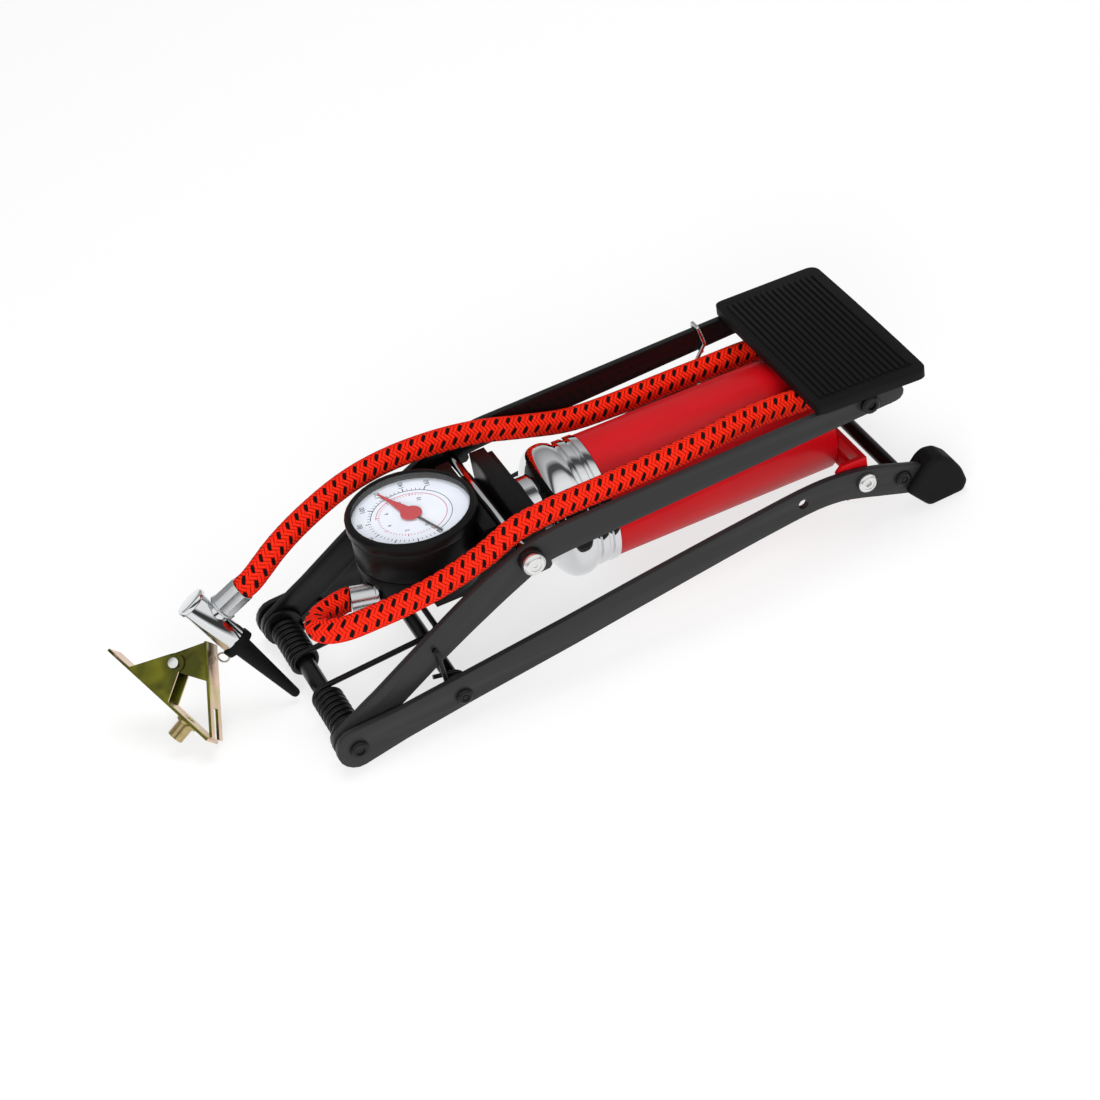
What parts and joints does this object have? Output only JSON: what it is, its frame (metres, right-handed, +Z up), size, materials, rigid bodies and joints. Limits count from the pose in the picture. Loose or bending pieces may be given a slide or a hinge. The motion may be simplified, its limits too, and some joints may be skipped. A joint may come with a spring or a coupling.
{
  "type": "folding foot pump",
  "caption": "Folding foot pump: a red barrel between two steel frames, a pressure gauge, a ribbed pedal and a braided hose with a clip-on connector.",
  "frame": {"origin": "under the middle of the folded pump on the floor plane", "axes": "+X from the front axle towards the pedal, +Y to the far side, +Z up"},
  "size_m": [0.3603, 0.1132, 0.0774],
  "materials": {
    "grey_paint": "dark grey satin paint",
    "black_paint": "black satin paint",
    "red_paint": "glossy red paint",
    "zinc": "bright zinc plating",
    "wire_steel": "bright drawn wire and crimped steel",
    "passivated": "yellow passivated zinc plating",
    "chrome": "polished chrome plating",
    "brass": "turned brass",
    "black_rubber": "matt moulded rubber",
    "black_plastic": "satin moulded plastic",
    "dial_white": "printed white dial",
    "needle_red": "satin red needle",
    "lens": "clear cover",
    "braid": "red braid with black flecks over rubber hose"
  },
  "bodies": {
    "base": {"arm_spring": "black_paint", "axle_bush_far": "black_paint", "axle_bush_near": "black_paint", "axle_sleeve": "black_paint", "axle_washer_far": "zinc", "axle_washer_near": "zinc", "barrel_screw_far": "zinc", "barrel_screw_near": "zinc", "base_rail_far": "grey_paint", "base_rail_near": "grey_paint", "chuck_body": "chrome", "chuck_cap": "chrome", "chuck_ferrule": "wire_steel", "clip_pin": "zinc", "clip_plate_a": "passivated", "clip_ring": "wire_steel", "clip_spigot": "brass", "front_axle": "black_paint", "hose": "braid", "mid_crossbar": "black_paint", "nozzle_cone": "black_rubber", "rear_crossbar": "black_paint", "rear_foot_far": "black_rubber", "rear_foot_near": "black_rubber"},
    "arm": {"arm_collar_far": "black_paint", "arm_collar_near": "black_paint", "arm_cross_rod": "chrome", "arm_rail_far": "grey_paint", "arm_rail_near": "grey_paint", "arm_screw_far": "zinc", "arm_screw_near": "zinc", "hose_clip": "wire_steel", "pedal_bolt_far": "black_paint", "pedal_bolt_near": "black_paint", "pedal_frame": "black_paint", "pedal_nut_far": "zinc", "pedal_nut_near": "zinc", "pedal_pad": "black_rubber"},
    "barrel": {"barrel_base": "red_paint", "barrel_clevis": "red_paint", "barrel_end_cap": "chrome", "barrel_tube": "red_paint", "gland_bush": "brass"},
    "rod": {"gauge_bezel": "black_plastic", "gauge_block": "black_plastic", "gauge_case": "black_plastic", "gauge_dial": "dial_white", "gauge_lens": "lens", "outlet_ferrule": "wire_steel", "piston_cup": "black_rubber", "piston_head": "zinc", "piston_nut": "zinc", "piston_rod": "chrome"},
    "pointer": {"gauge_pointer": "needle_red"},
    "latch": {"latch_wire": "black_paint"},
    "clip_jaw": {"clip_plate_b": "passivated"}
  },
  "joints": [
    {"name": "arm_hinge", "type": "hinge", "parent": "base", "child": "arm", "pos_m": [-0.1386, 0, 0.0094], "axis": [0, -1, 0], "range_deg": [0, 32], "deforming": ["arm_spring", "hose"]},
    {"name": "barrel_hinge", "type": "hinge", "parent": "base", "child": "barrel", "pos_m": [0.1029, 0, 0.0247], "axis": [0, 1, 0], "range_deg": [0, 12.6]},
    {"name": "rod_slide", "type": "slide", "parent": "barrel", "child": "rod", "axis": [-0.9988, 0, 0.0499], "range_m": [0, 0.0498]},
    {"name": "pointer_turn", "type": "hinge", "parent": "rod", "child": "pointer", "pos_m": [-0.0778, 0, 0.07], "axis": [-0.0872, 0, -0.9962], "range_deg": [0, 260], "stiffness_Nm_per_rad": 0.0005, "springref_deg": -11.46},
    {"name": "latch_turn", "type": "hinge", "parent": "base", "child": "latch", "pos_m": [-0.0901, 0, 0.0114], "axis": [0, 1, 0], "range_deg": [-15, 25]},
    {"name": "clip_squeeze", "type": "hinge", "parent": "base", "child": "clip_jaw", "pos_m": [-0.18784, 0.02532, 0.02716], "axis": [0.326, 0.5524, -0.7672], "range_deg": [-10, 0], "stiffness_Nm_per_rad": 0.05, "springref_deg": 17.19}
  ],
  "couplings": [
    {"joint": "barrel_hinge", "follows": "arm_hinge", "ratio": 0.392},
    {"joint": "rod_slide", "follows": "arm_hinge", "m_per_rad": 0.089}
  ]
}
